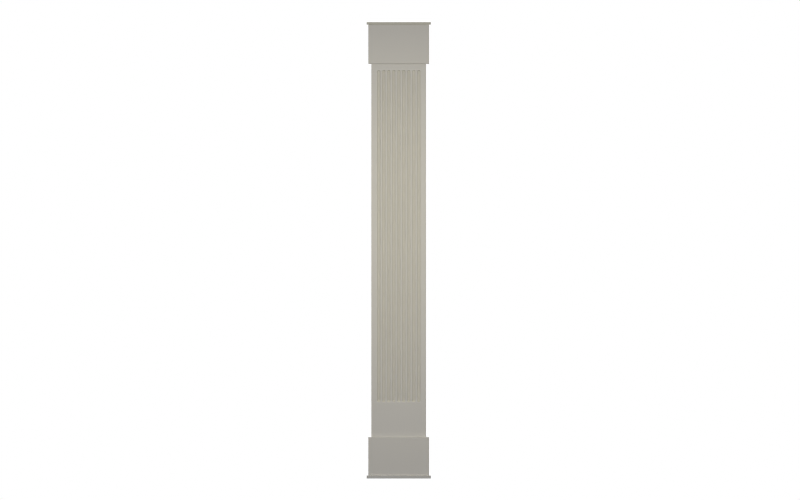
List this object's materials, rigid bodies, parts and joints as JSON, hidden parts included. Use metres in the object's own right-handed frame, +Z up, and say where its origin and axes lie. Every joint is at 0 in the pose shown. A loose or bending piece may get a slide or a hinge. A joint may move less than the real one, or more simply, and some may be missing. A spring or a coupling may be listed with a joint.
{
  "type": "porch column",
  "caption": "Square porch column built up from mitred boards: a hollow fluted shaft between a plain capital and a plain base, each edged by a thin projecting plate.",
  "frame": {"origin": "centre of the column's foot, on the floor that it stands on", "axes": "+Z up along the shaft, -Y out of the front face, +X to the right seen from the front"},
  "size_m": [0.3428, 0.3428, 2.4384],
  "materials": {
    "shaft_board": "warm grey cellular PVC board, smooth satin face with routed flutes",
    "collar_board": "warm grey cellular PVC board, smooth satin face",
    "plate_strip": "warm grey cellular PVC strip, sawn and sanded edge"
  },
  "bodies": {
    "root": {"shaft_board_front": "shaft_board", "shaft_board_right": "shaft_board", "shaft_board_back": "shaft_board", "shaft_board_left": "shaft_board", "capital_board_front": "collar_board", "capital_board_right": "collar_board", "capital_board_back": "collar_board", "capital_board_left": "collar_board", "base_board_front": "collar_board", "base_board_right": "collar_board", "base_board_back": "collar_board", "base_board_left": "collar_board", "head_strip_front": "plate_strip", "head_strip_right": "plate_strip", "head_strip_back": "plate_strip", "head_strip_left": "plate_strip", "foot_strip_front": "plate_strip", "foot_strip_right": "plate_strip", "foot_strip_back": "plate_strip", "foot_strip_left": "plate_strip"}
  },
  "joints": []
}
